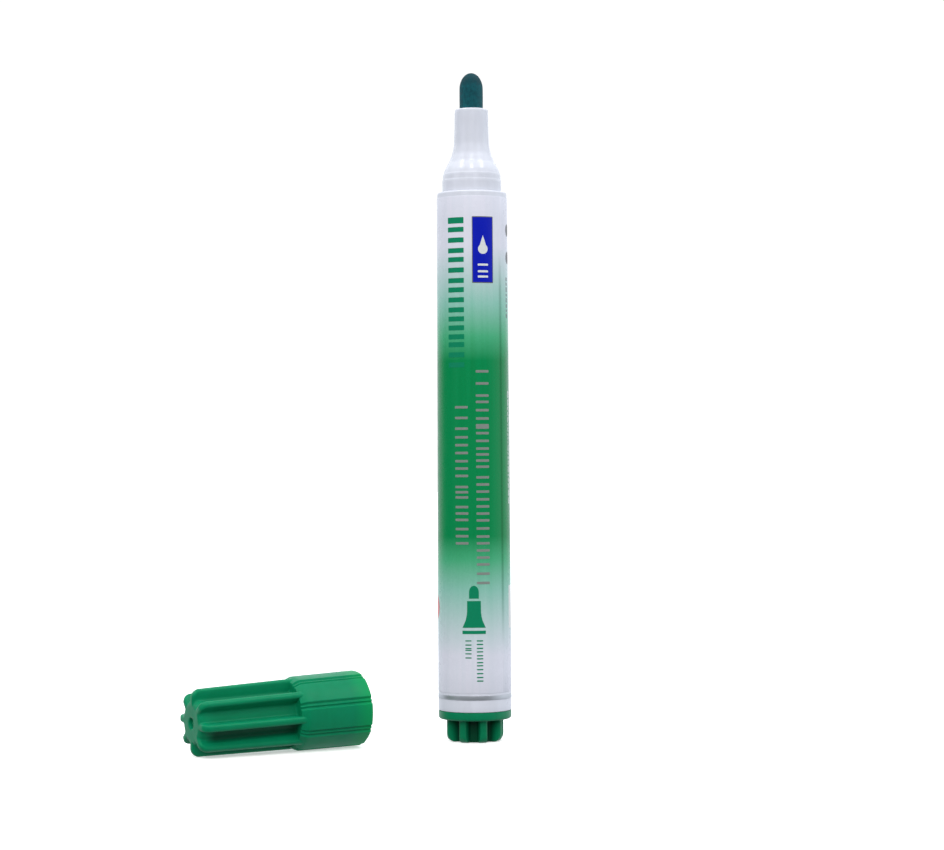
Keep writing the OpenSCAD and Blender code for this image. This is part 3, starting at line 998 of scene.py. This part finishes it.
def make_seal():
    flange = MOUTH_DEPTH - 1
    profile = [(SEAL_IN_R, SEAL_Z + 0.25), (SEAL_IN_R + 0.08, SEAL_Z)]
    profile += [(SEAL_OUT_R - 0.08, SEAL_Z), (SEAL_OUT_R, SEAL_Z + 0.12)]
    profile += [(SEAL_OUT_R, flange - 0.25), (SEAL_OUT_R + 0.2, flange), (5.4, flange), (5.6, flange + 0.15)]
    profile += [(5.6, MOUTH_DEPTH - 0.03), (SEAL_OUT_R, MOUTH_DEPTH - 0.03), (SEAL_OUT_R, SEAL_TOP - 0.3)]
    profile += [(SEAL_OUT_R - 0.3, SEAL_TOP), (0.0, SEAL_TOP)]
    inner = [(0.0, SEAL_TOP - 0.8), (SEAL_IN_R - 0.3, SEAL_TOP - 0.8)]
    inner += [(SEAL_IN_R, SEAL_TOP - 1.1), (SEAL_IN_R, SEAL_Z + 0.25)]
    bm = turned(profile + inner, 128, closed=False)
    finish_mesh("cap_inner_seal", bm, "cap", mat_seal, ["cap_seal"], sharp=45, matrix=LAY_CAP)


# ---------------------------------------------------------------- stage and light
TENT_LEVEL, FRONT_LEVEL, LEFT_LEVEL, RIGHT_LEVEL = 1.25, 0.2, 1.01, 1.07
LOW_LEVEL, ZENITH_LEVEL = 0.55, 1.08
BACKDROP_LEVEL, FLOOR_GLOW = 1.05, 0.42   # both are only seen; neither lights the object


def make_stage():
    mesh = bpy.data.meshes.new("floor")
    bm = bmesh.new()
    bmesh.ops.create_grid(bm, x_segments=8, y_segments=8, size=3.0)
    bm.to_mesh(mesh)
    bm.free()
    floor = bpy.data.objects.new("floor", mesh)
    bpy.context.scene.collection.objects.link(floor)
    floor.location.z = -0.00002
    s = Shader("floor_paper", (0.88, 0.86, 0.84, 1.0), 0.6, spec=0.1)
    # a lit table: it glows a little, so that it stays white round the foot
    s.bsdf.inputs["Emission Color"].default_value = (1.0, 1.0, 1.0, 1.0)
    s.bsdf.inputs["Emission Strength"].default_value = FLOOR_GLOW
    s.bump(s.noise(900, detail=4.0), 0.00001)
    mesh.materials.append(s.mat)
    floor.visible_diffuse = False
    floor.visible_glossy = False

    world = bpy.data.worlds.new("studio")
    bpy.context.scene.world = world
    world.use_nodes = True
    nt = world.node_tree
    nt.nodes.clear()
    out = nt.nodes.new("ShaderNodeOutputWorld")
    # white tent round the object, darker on the side that the front opening and the left wall are on
    coords = nt.nodes.new("ShaderNodeTexCoord")
    split = nt.nodes.new("ShaderNodeSeparateXYZ")
    nt.links.new(coords.outputs["Generated"], split.inputs[0])
    level = None
    for axis, low, high, dark, light in (
        ("Y", -0.65, -0.05, FRONT_LEVEL, 1.0),
        ("X", -1.0, 1.0, LEFT_LEVEL, RIGHT_LEVEL),
        ("X", -0.96, -0.84, 0.1, 1.0),   # the dark doorway that the foil reflects at its left
        ("Z", -1.0, 0.1, LOW_LEVEL, 1.0),
        ("Z", 0.1, 1.0, TENT_LEVEL, TENT_LEVEL * ZENITH_LEVEL),
    ):
        ramp = nt.nodes.new("ShaderNodeMapRange")
        ramp.inputs["From Min"].default_value = low
        ramp.inputs["From Max"].default_value = high
        ramp.inputs["To Min"].default_value = dark
        ramp.inputs["To Max"].default_value = light
        nt.links.new(split.outputs[axis], ramp.inputs["Value"])
        if level is None:
            level = ramp.outputs["Result"]
        else:
            product = nt.nodes.new("ShaderNodeMath")
            product.operation = "MULTIPLY"
            nt.links.new(level, product.inputs[0])
            nt.links.new(ramp.outputs["Result"], product.inputs[1])
            level = product.outputs[0]
    soft = nt.nodes.new("ShaderNodeBackground")
    soft.inputs["Color"].default_value = (*TINT, 1.0)
    nt.links.new(level, soft.inputs["Strength"])
    seen = nt.nodes.new("ShaderNodeBackground")
    seen.inputs["Color"].default_value = (1.0, 1.0, 1.0, 1.0)
    seen.inputs["Strength"].default_value = BACKDROP_LEVEL
    path = nt.nodes.new("ShaderNodeLightPath")
    mix = nt.nodes.new("ShaderNodeMixShader")
    nt.links.new(path.outputs["Is Camera Ray"], mix.inputs["Fac"])
    nt.links.new(soft.outputs[0], mix.inputs[1])
    nt.links.new(seen.outputs[0], mix.inputs[2])
    nt.links.new(mix.outputs[0], out.inputs["Surface"])


def area_light(name, place, aim, size, power):
    data = bpy.data.lights.new(name, "AREA")
    data.shape = "RECTANGLE"
    data.size, data.size_y = size
    data.energy = power
    obj = bpy.data.objects.new(name, data)
    bpy.context.scene.collection.objects.link(obj)
    direction = Vector(aim) - Vector(place)
    obj.matrix_world = Matrix.Translation(place) @ direction.to_track_quat("-Z", "Y").to_matrix().to_4x4()
    return obj


make_stage()
fill = area_light("front_fill", (-0.2, -1.25, 0.72), (0.0, 0.0, 0.06), (0.9, 0.9), 13.5)
fill.visible_glossy = False
LAMP_AIM = 0.12               # height the lamps point at, in metres
LAMP_RISE = math.radians(55)  # seen from there, how high each lamp stands, one metre away
for name, turn in (("front_lamp", 0.0), ("right_lamp", 64.0), ("left_lamp", -64.0)):
    away, side = math.cos(LAMP_RISE), math.radians(turn)
    spot = (away * math.sin(side), -away * math.cos(side), LAMP_AIM + math.sin(LAMP_RISE))
    area_light(name, spot, (0.0, 0.0, LAMP_AIM), (0.2, 0.2), 1.3)

make_plug()
make_barrel()
make_film()
make_band()
make_green_bars()
make_panel()
make_silver_bars()
make_tip_sign()
make_far_prints()
make_section()
make_nib()
make_reservoir()
make_cap()
make_seal()
